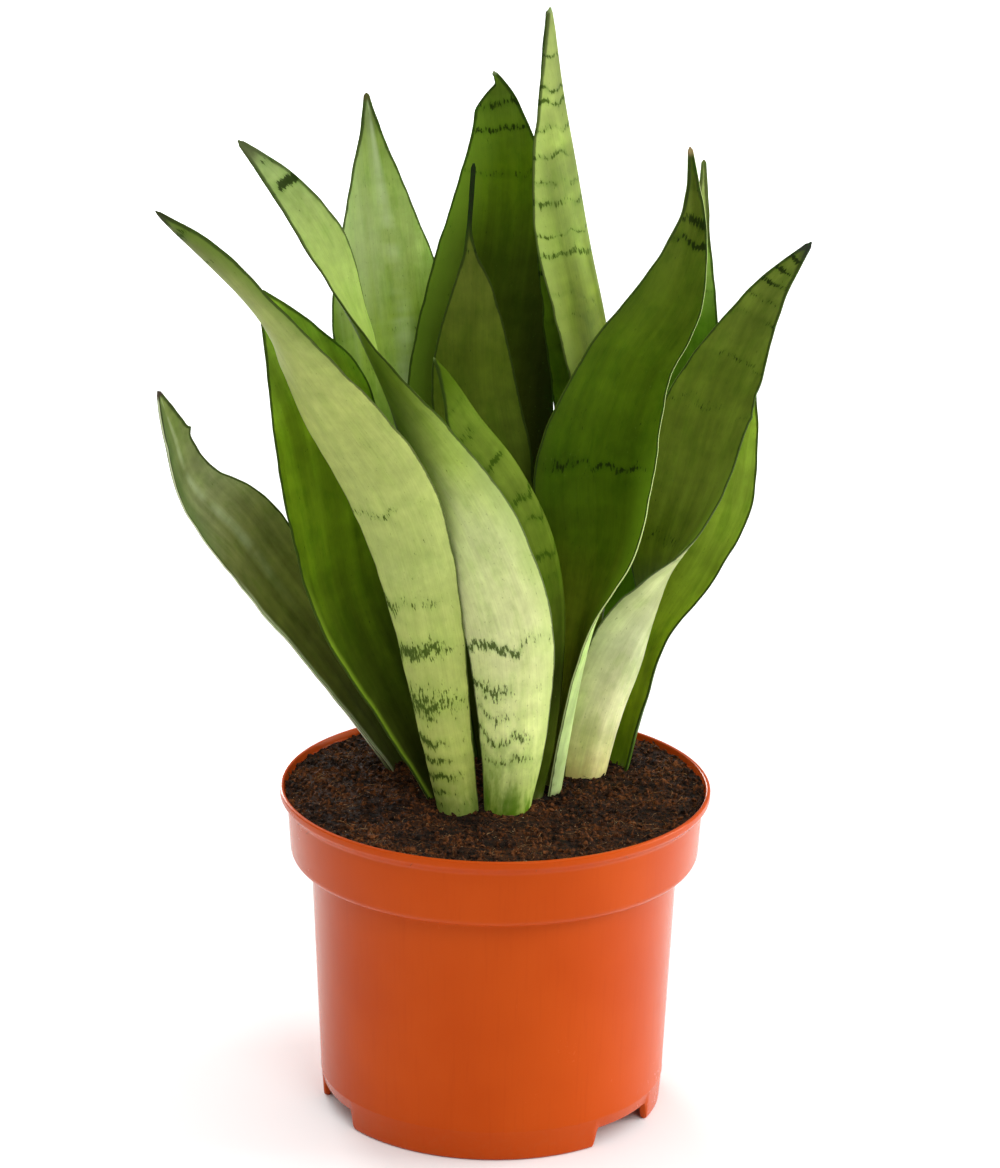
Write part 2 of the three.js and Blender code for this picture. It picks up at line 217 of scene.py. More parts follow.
# The leaves. A station is the midrib's x, y and z in mm, the blade's width laid flat in mm, the way that
# its inner face looks (0 to the viewer, 90 to +X) and how far it is rolled into a channel, both in degrees.
# keel shapes the channel: 1 is round, a small value folds it sharply at the midrib.
# inner and outer are each face's tones along the blade. bands are (place, spread, strength). nicks are
# (margin, place, mm, spread). lightShadeStrips are lighter or darker strips along a margin, many of them
# painted light and painted shade: (face, margin, mm wide, tone, amount, from, to). Places and spreads
# are shares of the blade's length.
leaves = {
    "low_left": {
        "keel": 0.8,
        "slot": "leaf_grey_green",
        "stations": [
            (-22, 18, 74, 12, 62, 120), (-28, 17, 91, 14, 62, 115),
            (-37, 15, 107, 19, 62, 105), (-49, 11, 127, 25, 62, 95),
            (-63, 7, 148, 29, 62, 90), (-73, 0, 165, 28, 62, 85),
            (-84, -12, 182, 17, 60, 80), (-88, -25, 201, 10, 58, 70),
            (-90, -38, 216, 0.9, 56, 50),
        ],
        "inner": [
            (0.15, "525826"), (0.35, "5e622a"), (0.5, "6e7436"), (0.62, "7c804a"), (0.72, "949a6a"),
            (0.9, "82924e"),
        ],
        "outer": [(0.1, "8c9a58"), (0.5, "a6b27c"), (0.9, "8fa860")],
        "streaks": 0.2,
        # The pale left rim and the two pale strips along the left margin are painted light: a lit edge, and
        # the outer face brightened where it lies in shade.
        "rims": ("d2d8b0", "6a7440"),
        "dry": (0.03, "4a3b34"),
        "nicks": [(1, 0.852, 0.9, 0.006)],
        # The midrib streak is a painted sheen.
        "midrib": (0.1, 0.2, 0.34, 0.42),
        "lightShadeStrips": [
            ("inner", -1, 3.0, "dfe6bc", 0.9, 0.14, 0.56), ("outer", -1, 12.0, "e6eac6", 1.0, 0.2, 0.6),
            ("inner", -1, 9.0, "5c7c3c", 0.5, 0.66, 0.95),
        ],
    },
    "left_inner": {
        "keel": 0.9,
        "slot": "leaf_dark_green",
        "stations": [
            (-9, -8, 74, 10, 50, 110), (-15, -8, 91, 12, 48, 100),
            (-28, -8, 120, 21, 44, 80), (-40, -10, 150, 30, 38, 65),
            (-45, -13, 179, 34, 34, 55), (-50, -17, 207, 32, 34, 55),
            (-57, -20, 225, 18, 36, 55), (-64, -23, 240, 0.9, 38, 40),
        ],
        "inner": [(0.2, "383e12"), (0.35, "43540f"), (0.5, "5b7610"), (0.7, "749419"), (0.9, "80a030")],
        "outer": [(0.15, "93a85c"), (0.5, "a0b468"), (0.9, "8fae50")],
        "streaks": 0.2,
        "dry": (0.01, "3a3a20"),
        # The bright green strip along the left margin is painted light on the lit edge; the dark strip along
        # the right margin is painted shadow cast by the front_left blade.
        "lightShadeStrips": [
            ("inner", -1, 2.6, "8cac2e", 0.85, 0.04, 0.46), ("inner", 1, 9.0, "2c3c0a", 0.5, 0.2, 0.6),
        ],
    },
    "front_left": {
        "keel": 0.8,
        "slot": "leaf_silver_green",
        "stations": [
            (-8, -21, 74, 11, 176, 120), (-10, -23, 91, 13, 176, 115),
            (-14, -26, 115, 16, 172, 95), (-21, -31, 157, 22, 168, 75),
            (-30, -36, 187, 26, 160, 60), (-47, -42, 215, 24, 142, 55),
            (-61, -47, 238, 20, 118, 55), (-76, -51, 256, 13, 120, 50),
            (-89, -52, 268, 0.9, 118, 30),
        ],
        "inner": [(0.2, "4c6c14"), (0.8, "62882a")],
        "outer": [
            (0.12, "a6b45c"), (0.2, "b7c162"), (0.4, "b0bd6c"), (0.6, "aab464"), (0.75, "9aa45c"),
            (0.84, "848e4c"), (0.93, "5c662f"),
        ],
        "bands": [
            (0.15, 0.012, 0.7), (0.17, 0.014, 0.85), (0.2, 0.014, 1.0), (0.224, 0.012, 1.0),
            (0.248, 0.014, 1.15), (0.284, 0.028, 1.0), (0.33, 0.012, 1.15), (0.372, 0.011, 1.1),
            (0.486, 0.009, 0.6), (0.87, 0.012, 0.6), (0.93, 0.02, 1.0), (0.965, 0.015, 1.0),
        ],
        "tint": (0.13, 0.12, "66882a", 0.7),
        "clouds": 0.07,
        "streaks": 0.09,
        "blotches": 0.4,
        "bandLean": 0.22,
        "dry": (0.05, "33381f"),
        "lightShadeStrips": [("outer", -1, 6.0, "647f2a", 0.7, 0.7, 1.1)],
    },
    "front_middle": {
        "keel": 0.8,
        "slot": "leaf_silver_green",
        "stations": [
            (5, -20, 74, 13, 190, 120), (4, -22, 91, 15, 188, 115),
            (5, -26, 115, 20, 184, 85), (3, -30, 147, 25, 178, 60),
            (-7, -31, 175, 26, 165, 50), (-18, -29, 195, 23, 138, 45),
            (-31, -27, 217, 22, 104, 45), (-39, -26, 234, 18, 84, 45),
            (-48, -27, 255, 14, 52, 50), (-58, -29, 270, 8.5, 45, 40),
            (-69, -31, 282, 0.9, 45, 30),
        ],
        "inner": [(0.6, "86a040"), (0.75, "8fa452"), (0.85, "8c9f58"), (0.95, "8a9e60")],
        "outer": [
            (0.1, "a4c048"), (0.2, "dfe896"), (0.3, "d0d596"), (0.4, "bfca86"), (0.5, "a4b856"),
            (0.6, "708628"),
        ],
        "bands": [
            (0.18, 0.012, 0.6), (0.204, 0.01, 0.85), (0.228, 0.009, 0.6), (0.25, 0.014, 0.8),
            (0.29, 0.008, 1.1), (0.9, 0.014, 1.6), (0.94, 0.01, 0.6),
        ],
        "tint": (0.12, 0.09, "5f8a14", 1.0),
        "clouds": 0.05,
        "streaks": 0.07,
        "blotches": 0.55,
        "bandLean": 0.34,
        "dry": (0.06, "4c5234"),
        # The first, dark strip is painted shadow on the outer face.
        "lightShadeStrips": [
            ("outer", 1, 12.0, "2e3a12", 0.95, 0.38, 0.7), ("outer", -1, 7.0, "98ae58", 0.55, 0.16, 0.5),
        ],
    },
    "back_left": {
        "keel": 1,
        "slot": "leaf_grey_green",
        "stations": [
            (-10, 19, 74, 12, 10, 100), (-12, 22, 91, 14, 10, 90),
            (-21, 32, 139, 25, 12, 60), (-26, 35, 167, 31, 14, 50),
            (-29, 38, 196, 34, 15, 45), (-32, 40, 221, 33, 15, 45),
            (-35, 42, 249, 18, 15, 45), (-37, 43, 269, 5.5, 15, 40),
            (-38, 43, 279, 0.9, 15, 20),
        ],
        "inner": [(0.45, "6a8634"), (0.6, "90aa42"), (0.7, "a5b968"), (0.8, "8fa752"), (0.92, "647630")],
        "outer": [(0.15, "94a85c"), (0.5, "aabb7c"), (0.9, "9cb868")],
        "streaks": 0.12,
        # The sheen and the midrib streak are painted sheen.
        "sheen": 0.2,
        "midrib": (0.2, 0.3, 0.34, 0.1),
        "bands": [(0.588, 0.008, 0.5)],
        "dry": (0.05, "56502f"),
        "lightShadeStrips": [("inner", -1, 9.0, "5c782a", 0.75, 0.3, 0.64)],
    },
    "back_middle": {
        "keel": 1,
        "slot": "leaf_dark_green",
        "stations": [
            (3, 19, 74, 12, -5, 90), (2, 21, 91, 14, -5, 80),
            (-1, 26, 139, 25, -5, 55), (-4, 30, 167, 34, -4, 45),
            (-6, 34, 194, 40, -3, 40), (-3, 36, 222, 37, -3, 40),
            (0, 37, 250, 28, -3, 40), (-1, 37, 275, 13, -3, 40),
            (-3, 36, 287, 0.9, -3, 20),
        ],
        "inner": [(0.5, "38420e"), (0.68, "3e4f0e"), (0.8, "56720c"), (0.92, "566e1e")],
        "outer": [(0.15, "8c9f54"), (0.5, "9db267"), (0.9, "7f9a48")],
        "bands": [(0.79, 0.008, 0.5), (0.853, 0.008, 0.85), (0.9, 0.016, 0.8)],
        "dry": (0.02, "7a8060"),
        "nicks": [(-1, 0.89, 1.0, 0.02), (-1, 0.955, -2.4, 0.025), (1, 0.42, 1.8, 0.12)],
        # Painted light and shade: the left half of the inner face lightened where it is lit, the right half
        # darkened as the shadow that the tallest blade casts.
        "lightShadeStrips": [
            ("inner", -1, 12.0, "6e8c28", 0.75, 0.36, 0.86),
            ("inner", 1, 11.0, "1e2408", 0.75, 0.3, 0.66),
        ],
    },
    "slender": {
        "keel": 1,
        "slot": "leaf_dark_green",
        "stations": [
            (5, 7, 74, 9, 5, 90), (4, 8, 91, 11, 5, 80),
            (2, 10, 132, 17, 5, 60), (-3, 11, 178, 25, 5, 45),
            (-7, 12, 201, 24, 5, 40), (-8, 12, 216, 20, 5, 40),
            (-8, 12, 232, 11, 5, 40), (-9, 12, 246, 1.6, 5, 30),
            (-8, 11, 267, 0.9, 5, 10),
        ],
        "inner": [(0.4, "50601a"), (0.6, "4e5d16"), (0.8, "555f20")],
        "outer": [(0.15, "8c9f54"), (0.5, "9db267"), (0.85, "7c8c4c")],
        "bands": [(0.845, 0.012, 0.9)],
        "rims": ("39461a", "39461a"),
        "dry": (0.14, "1c2214"),
    },
    "tallest": {
        "keel": 0.35,
        "slot": "leaf_silver_green",
        "stations": [
            (20, 17, 74, 12, -88, 120), (22, 17, 91, 15, -88, 130),
            (27, 18, 127, 24, -84, 135), (31, 19, 160, 31, -80, 135),
            (32, 20, 192, 35, -77, 135), (28, 20, 219, 37, -77, 135),
            (23, 19, 243, 36, -80, 130), (19, 17, 265, 31, -83, 125),
            (15, 16, 287, 18, -84, 115), (12, 15, 309, 3.4, -84, 90),
        ],
        "inner": [(0.3, "38480c"), (0.5, "48620e"), (0.6, "46600e"), (0.75, "3a4c10"), (0.9, "343f18")],
        "outer": [(0.5, "6a7a22"), (0.6, "6a7924"), (0.7, "788b3a"), (0.85, "7e8e42"), (0.95, "788444")],
        "clouds": 0.2,
        "nicks": [(-1, 0.42, 1.8, 0.1), (-1, 0.78, -4.0, 0.13), (1, 0.73, 3.0, 0.14)],
        "bandSlope": 0.034,
        "bands": [
            (0.58, 0.006, 0.7), (0.612, 0.006, 0.7), (0.67, 0.007, 1.05), (0.7, 0.005, 0.8),
            (0.745, 0.008, 1.0), (0.772, 0.006, 0.95), (0.81, 0.005, 1.15), (0.845, 0.005, 1.15),
            (0.875, 0.005, 1.2), (0.89, 0.004, 1.25), (0.93, 0.004, 1.1),
        ],
        "dry": (0.012, "7c8a58"),
        "lightShadeStrips": [("outer", 1, 7.0, "b4c86c", 0.4, 0.5, 0.95)],
    },
    "right_dark": {
        "keel": 0.6,
        "slot": "leaf_dark_green",
        "stations": [
            (15, -3, 74, 12, -76, 120), (17, -2, 91, 14, -74, 115),
            (20, -1, 115, 18, -66, 110), (24, 1, 141, 25, -55, 95),
            (27, 3, 163, 31, -26, 70), (26, 4, 187, 34, 4, 55),
            (33, 6, 212, 27, 16, 50), (44, 7, 231, 21.5, 20, 50),
            (50, 8, 249, 10.5, 22, 45), (51, 8, 261, 4, 22, 40),
            (50, 8, 273, 0.9, 22, 20),
        ],
        "inner": [
            (0.15, "70780f"), (0.3, "6a7a18"), (0.4, "455c0a"), (0.5, "374e05"), (0.62, "405608"),
            (0.8, "445212"), (0.93, "424d15"),
        ],
        "outer": [(0.12, "b4ca84"), (0.3, "a8c070"), (0.6, "90ac50"), (0.9, "8ca258")],
        "streaks": 0.14,
        "bands": [(0.495, 0.008, 0.9), (0.788, 0.01, 1.35), (0.828, 0.018, 1.35), (0.9, 0.009, 0.9)],
        "rims": ("4c5c20", "c6d48c"),
        "dry": (0.03, "8a7452"),
        "lightShadeStrips": [
            ("inner", 1, 7.0, "6a8c1a", 0.6, 0.2, 0.5), ("inner", -1, 5.0, "34460a", 0.5, 0.3, 0.75),
        ],
        "blotches": 0.9,
    },
    "small_folded": {
        "keel": 0.45,
        "slot": "leaf_silver_green",
        "stations": [
            (10, -8, 74, 9, -88, 110), (12, -8, 91, 13, -90, 110),
            (15, -9, 109, 18, -92, 110), (17, -10, 130, 24, -92, 110),
            (17, -11, 151, 29, -92, 110), (13, -12, 171, 31, -92, 110),
            (4, -12, 189, 29, -92, 105), (-6, -12, 202, 26, -90, 100),
            (-12, -12, 211, 15, -88, 90), (-18, -12, 219, 0.9, -86, 60),
        ],
        "inner": [(0.3, "466a0c"), (0.9, "4c8a10")],
        # The outer tones are partly the leaf's own dark green and partly painted shade on this right-facing
        # face.
        "outer": [
            (0.2, "38440e"), (0.33, "1e2607"), (0.5, "4c5f15"), (0.65, "5a6b22"), (0.8, "5c7022"),
            (0.92, "3e520e"),
        ],
        "bands": [
            (0.497, 0.01, 0.6), (0.535, 0.01, 1.0), (0.59, 0.007, 0.8), (0.625, 0.012, 1.0),
            (0.7, 0.009, 1.1), (0.77, 0.02, 0.6), (0.85, 0.012, 0.5),
        ],
        "dry": (0.012, "5c6c3c"),
        "wax": 0.0,
    },
    "far_right": {
        "keel": 0.8,
        "slot": "leaf_dark_green",
        "stations": [
            (24, 6, 74, 13, -150, 120), (27, 7, 91, 16, -146, 120),
            (31, 10, 109, 22, -142, 115), (38, 15, 127, 27, -130, 105),
            (44, 20, 140, 28, -96, 90), (48, 25, 152, 29, -62, 80),
            (54, 31, 170, 30, -40, 70), (60, 39, 191, 28, -32, 60),
            (68, 47, 208, 19, -32, 55), (76, 53, 222, 10, -34, 45),
            (87, 61, 234, 0.9, -36, 20),
        ],
        "inner": [(0.4, "4e6014"), (0.5, "566614"), (0.6, "617022"), (0.75, "56661c"), (0.92, "5c6a26")],
        "outer": [(0.1, "dfd888"), (0.2, "d2d29a"), (0.3, "c0c694"), (0.4, "b0b880")],
        "bands": [
            (0.522, 0.014, 0.6), (0.7, 0.012, 0.5), (0.77, 0.009, 0.5), (0.842, 0.008, 1.5),
            (0.876, 0.008, 1.45), (0.908, 0.007, 1.3), (0.934, 0.006, 1.5), (0.956, 0.006, 1.5),
        ],
        "tint": (0.1, 0.06, "c4a468", 0.6),
        "rims": ("6c7c3c", "46542a"),
        "dry": (0.045, "2c2e2a"),
        "nicks": [(1, 0.7, 0.7, 0.006), (1, 0.73, -0.5, 0.01)],
        "lightShadeStrips": [
            ("inner", 1, 6.0, "7c982a", 0.65, 0.33, 0.6), ("outer", -1, 8.0, "eceed6", 0.75, 0.16, 0.5),
        ],
        "blotches": 0.7,
    },
    "right_green": {
        "keel": 0.8,
        "slot": "leaf_dark_green",
        "stations": [
            (30, 17, 74, 12, -46, 110), (34.5, 20.5, 91, 14, -44, 105),
            (39, 26, 109, 16, -44, 100), (45, 31, 129, 18, -44, 92),
            (57, 37, 148, 23, -42, 80), (64, 42, 165, 24, -36, 70),
            (67, 46, 184, 17, -36, 60), (69, 48, 195, 8, -36, 50),
            (70, 50, 206, 0.9, -38, 30),
        ],
        "inner": [(0.1, "4a660e"), (0.25, "768c14"), (0.36, "8ea824"), (0.5, "7e962a"), (0.7, "9cb642")],
        "outer": [(0.2, "42600e"), (0.38, "5c7c1c"), (0.6, "9cb460"), (0.9, "94b054")],
        "dry": (0.02, "4c5a2c"),
        "rims": ("5c6e2c", "26340f"),
    },
    "back_right": {
        "keel": 1,
        "slot": "leaf_grey_green",
        "stations": [
            (14, 33, 74, 11, -20, 100), (16, 36, 91, 13, -20, 95),
            (23, 45, 112, 16, -20, 80), (34, 53, 139, 20, -18, 65),
            (46, 57, 167, 21, -16, 55), (52, 58, 192, 21, -15, 50),
            (53, 58, 216, 17, -15, 50), (55, 58, 232, 8, -15, 45),
            (56, 58, 246, 3, -15, 40), (56, 58, 258, 0.9, -15, 20),
        ],
        "inner": [(0.3, "466610"), (0.65, "53781a"), (0.8, "86a04c"), (0.92, "c0c87a")],
        "outer": [(0.15, "8c9f54"), (0.6, "9cb067"), (0.9, "9fb56c")],
        "bands": [(0.7, 0.008, 0.6)],
        "dry": (0.015, "6a7040"),
    },
}


# Rows of station values on a smooth curve through the table, root to tip
def stationRows(stations, rows):
    table = np.array(stations, float)
    last = len(table) - 1
    place = np.linspace(0, last, rows + 1)
    index = np.minimum(place.astype(int), last - 1)
    a, b, c, d = (table[np.clip(index + step, 0, last)] for step in (-1, 0, 1, 2))
    t = (place - index)[:, None]
    bend = 2 * b + (c - a) * t + (2 * a - 5 * b + 4 * c - d) * t**2
    return (bend + (3 * b - a - 3 * c + d) * t**3) / 2


def unit(vectors):
    return vectors / np.linalg.norm(vectors, axis=-1, keepdims=True)


# A gentle, unrepeating wave between -1 and 1
def waver(along, start, length):
    waves = [np.sin(2 * math.pi * along / (length * k) + start * k * 2.3) for k in (1.0, 0.61, 0.37)]
    return (waves[0] + 0.7 * waves[1] + 0.5 * waves[2]) / 2.2


# Half widths of the blade to its left and right margin, with small waves and nicks
def marginReach(leaf, order, width, share, along):
    fade = np.clip(np.minimum((share - 0.1) * 8, (1 - share) * 7), 0, 1)
    reach = {}
    for side in (-1, 1):
        stray = bladeForm["wave"] * fade * waver(along, order + 0.5 * side, bladeForm["waveLength"])
        for nickSide, place, depth, spread in leaf.get("nicks", []):
            if nickSide == side:
                stray = stray + depth * np.exp(-((share - place) / spread) ** 2)
        reach[side] = np.maximum(width / 2 + stray, 0.08)
    return reach


# The blade's middle sheet as a grid of points, with the way that it faces and its reach to the margins
def bladeGrid(leaf, order):
    form = bladeForm
    rows = stationRows(leaf["stations"], form["rows"])
    share = np.linspace(0, 1, form["rows"] + 1)
    spine = rows[:, :3]
    steps = np.linalg.norm(np.diff(spine, axis=0), axis=1)
    along = np.concatenate([[0], np.cumsum(steps)])
    turn, arc = np.radians(rows[:, 4]), np.radians(rows[:, 5])
    ahead = unit(np.gradient(spine, axis=0))
    look = np.stack([np.sin(turn), -np.cos(turn), np.zeros_like(turn)], axis=1)
    across = unit(np.cross(ahead, look))
    facing = np.cross(across, ahead)
    taper = np.clip((1 - share) / form["point"], 0.25, 1)
    width = np.maximum(rows[:, 3], form["leastWidth"]) * taper
    reach = marginReach(leaf, order, width, share, along)

    v = np.linspace(-1, 1, form["columns"] + 1)
    v = np.sign(v) * np.abs(v) ** form["crowd"]
    half = np.where(v[None, :] < 0, reach[-1][:, None], reach[1][:, None])
    parts = (np.arange(form["arcParts"]) + 0.5) / form["arcParts"]
    slopes = (arc / 2)[:, None, None] * (np.abs(v)[:, None] * parts) ** leaf["keel"]
    offset = v * half * np.cos(slopes).mean(axis=2)
    rise = np.abs(v) * half * np.sin(slopes).mean(axis=2)
    fade = np.clip(np.minimum((share - 0.12) * 5, (1 - share) * 5), 0, 1)[:, None]
    for side in (-1, 1):
        lift = form["ruffle"] * waver(along, order * 1.7 + side, form["ruffleLength"])[:, None]
        rise = rise + fade * lift * np.clip(side * v, 0, 1)[None, :] ** 3
    slope = np.sign(v) * (arc / 2)[:, None] * np.abs(v) ** leaf["keel"]

    middle = form["middle"] + form["rootExtra"] * (1 - share) ** 2 - share**3
    thick = form["edge"] + (middle - form["edge"])[:, None] * (1 - v**2)[None, :]
    thick = np.minimum(thick, (form["tip"] + width * 0.14)[:, None])
    sheet = spine[:, None] + offset[..., None] * across[:, None] + rise[..., None] * facing[:, None]
    normal = np.cos(slope)[..., None] * facing[:, None] - np.sin(slope)[..., None] * across[:, None]
    outward = np.cos(slope)[..., None] * across[:, None] + np.sin(slope)[..., None] * facing[:, None]
    return {
        "v": v, "share": share, "along": along, "reach": half, "sheet": sheet,
        "normal": normal, "outward": outward, "half": thick[..., None] / 2,
    }


# One closed loop of points round the blade at every row: inner face, right rim, outer face, left rim
def bladeLoop(grid):
    loop = []
    v, sheet, normal, outward, half = (grid[k] for k in ("v", "sheet", "normal", "outward", "half"))

    def add(column, turn, outerShare, toRim):
        side = math.copysign(1, v[column])
        push = math.cos(turn) * normal[:, column] + side * math.sin(turn) * outward[:, column]
        rimDistance = (1 - abs(v[column])) * grid["reach"][:, column] - toRim
        loop.append((sheet[:, column] + push * half[:, column], v[column], outerShare, rimDistance))

    last = len(v) - 1
    rimShares = [step / (bladeForm["rimSteps"] + 1) for step in range(1, bladeForm["rimSteps"] + 1)]
    for column in range(last + 1):
        add(column, 0, 0.0, 0)
    for share in rimShares:
        add(last, math.pi * share, share, bladeForm["rimPast"])
    for column in range(last, -1, -1):
        add(column, math.pi, 1.0, 0)
    for share in reversed(rimShares):
        add(0, math.pi * share, share, bladeForm["rimPast"])
    return loop


def setFloats(mesh, name, values):
    layer = mesh.attributes.new(name, "FLOAT", "POINT")
    layer.data.foreach_set("value", np.asarray(values, np.float32))


def setMap(mesh, name, perPoint):
    corners = np.empty(len(mesh.loops), np.int32)
    mesh.loops.foreach_get("vertex_index", corners)
    layer = mesh.uv_layers.new(name=name)
    layer.data.foreach_set("uv", perPoint[corners].astype(np.float32).ravel())


# Values for every point of the loops, and after them the middle point of the root and of the tip
def withEnds(values):
    ends = [values[0].mean(axis=0), values[-1].mean(axis=0)]
    return np.concatenate([values.reshape(-1, *values.shape[2:]), ends])


def makeBlade(name, leaf, order):
    grid = bladeGrid(leaf, order)
    loop = bladeLoop(grid)
    rows, around = len(grid["share"]), len(loop)
    points = np.stack([entry[0] for entry in loop], axis=1)
    v = np.tile([entry[1] for entry in loop], (rows, 1))
    outer = np.tile([entry[2] for entry in loop], (rows, 1))
    rim = np.stack([entry[3] for entry in loop], axis=1)
    acrossReal = v * np.where(v < 0, grid["reach"][:, :1], grid["reach"][:, -1:])
    alongReal = np.tile(grid["along"][:, None], (1, around))
    share = np.tile(grid["share"][:, None], (1, around))

    faces = []
    for row in range(rows - 1):
        for k in range(around):
            a, b = row * around + k, row * around + (k + 1) % around
            faces.append((a, b, b + around, a + around))
    root, tip, top = rows * around, rows * around + 1, (rows - 1) * around
    for k in range(around):
        after = (k + 1) % around
        faces.append((after, k, root))
        faces.append((top + k, top + after, tip))

    mesh = bpy.data.meshes.new("blade_" + name)
    mesh.from_pydata((withEnds(points) * mm).tolist(), [], faces)
    setMap(mesh, "share", np.stack([withEnds(v) / 2 + 0.5, withEnds(share)], axis=1))
    setMap(mesh, "blade", np.stack([withEnds(acrossReal), withEnds(alongReal)], axis=1) * mm)
    setFloats(mesh, "outerFace", withEnds(outer))
    setFloats(mesh, "rimDistance", withEnds(rim))
    faceOut(mesh)
    mesh.shade_smooth()
    mesh.materials.append(leafMaterial(name, leaf, order, grid["along"][-1]))
    piece = newObject("blade_" + name, mesh)
    fasten(piece, leaf["slot"], "leaf_" + name)


# The leaf skin: a waxy outer and a deep green inner face, both with lengthwise grain, clouds across the
# blade, crossbands of short dark dashes, a dark line along the margin and a dry tip
skin = {
    "streaks": 0.16,  # amounts, for a leaf that states none of its own
    "clouds": 0.1,
    "blotches": 0.8,
    "wax": 0.09,
    "tint": (0.1, 0.06, "a4a868", 0.4),
    "rims": ("38441a", "38441a"),
    "dash": {"inner": "121b06", "outer": "2c4008"},
    "fleck": "4a6424",
    "bandShade": (0.5, 0.66, 0.4, 1.0),  # multiplied in, like the blotches
    "blotch": (0.78, 0.86, 0.7, 1.0),
    "sheen": "d0dcb6",
    "margin": "222e10",
    "marginWidth": 0.4,  # mm
    "bandWave": 3.0,  # how far a band strays lengthwise, mm
    "bandPeak": 1.5,  # the strength that a ramp's white stands for
    "rampBands": 9,  # the most bands that one ramp's stops have room for
}

# Noises on the skin: waves per metre across and along the blade, detail and roughness
patterns = {
    "grain": (2600, 60, 3, 0.6),
    "stripe": (190, 9, 2, 0.5),
    "cloud": (38, 120, 2, 0.5),
    "mottle": (420, 260, 4, 0.6),
    "blotch": (240, 90, 4, 0.6),
    "sheen": (110, 7, 3, 0.5),
    "foot": (330, 80, 4, 0.6),
    "bandWave": (170, 25, 2, 0.5),
    "bandCover": (75, 47, 1, 0.5),
    "dash": (1800, 430, 3, 0.6),
    "fleck": (1900, 1000, 1, 0.5),
}


# Peaks at the crossbands' places along the blade
def bandMask(place, bands):
    peak, most = skin["bandPeak"], skin["rampBands"]
    mask = 0.0
    for first in range(0, len(bands), most):
        stops = {0.0: 0.0}
        for middle, spread, strength in bands[first:first + most]:
            stops[round(middle - spread, 4)] = 0.0
            stops[round(middle, 4)] = strength / peak
            stops[round(middle + spread, 4)] = 0.0
        peaks = ramp(place, [(at, (level, level, level, 1.0)) for at, level in sorted(stops.items())])
        mask = timesPlus(peaks, peak, mask)
    return mask


# Crossbands on the outer face of a leaf that mostly shows its inside
def outerBands(order):
    count = skin["rampBands"]
    draw = np.random.default_rng(order)
    places = 0.48 + 0.054 * np.arange(count) + draw.uniform(-0.016, 0.016, count)
    return [(place, 0.008, strength) for place, strength in zip(places, draw.uniform(0.2, 1.0, count))]


# Lightens and darkens a tone by a noise
def shaded(tone, veil, amount):
    return mixed(1.0, tone, fit(veil, 0.3, 0.7, 1 - amount, 1 + amount), "MULTIPLY")


